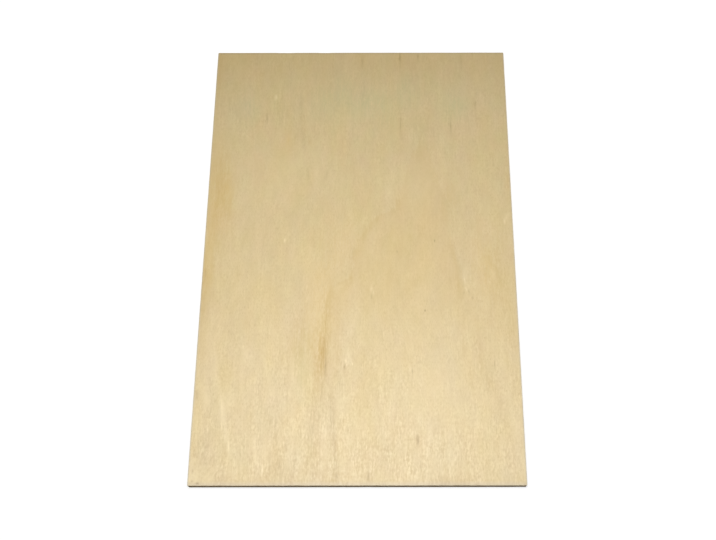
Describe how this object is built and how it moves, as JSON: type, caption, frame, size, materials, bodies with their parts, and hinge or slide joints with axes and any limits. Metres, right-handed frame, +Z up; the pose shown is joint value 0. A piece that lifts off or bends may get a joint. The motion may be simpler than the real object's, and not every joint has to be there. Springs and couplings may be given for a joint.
{
  "type": "plywood sheet",
  "caption": "Flat rectangular sheet of pale plywood with sanded faces, square sawn edges and slightly eased arrises and corners.",
  "frame": {"origin": "middle of the underside, on the surface that the sheet lies on", "axes": "+Z up, square to the face; +Y along the length and the face grain; +X across the width"},
  "size_m": [0.3, 0.45, 0.009],
  "materials": {
    "plywood": "pale birch-like rotary-cut face veneer, sanded and left bare, with sawn edges that show the plies"
  },
  "bodies": {
    "root": {"plywood_sheet": "plywood"}
  },
  "joints": []
}
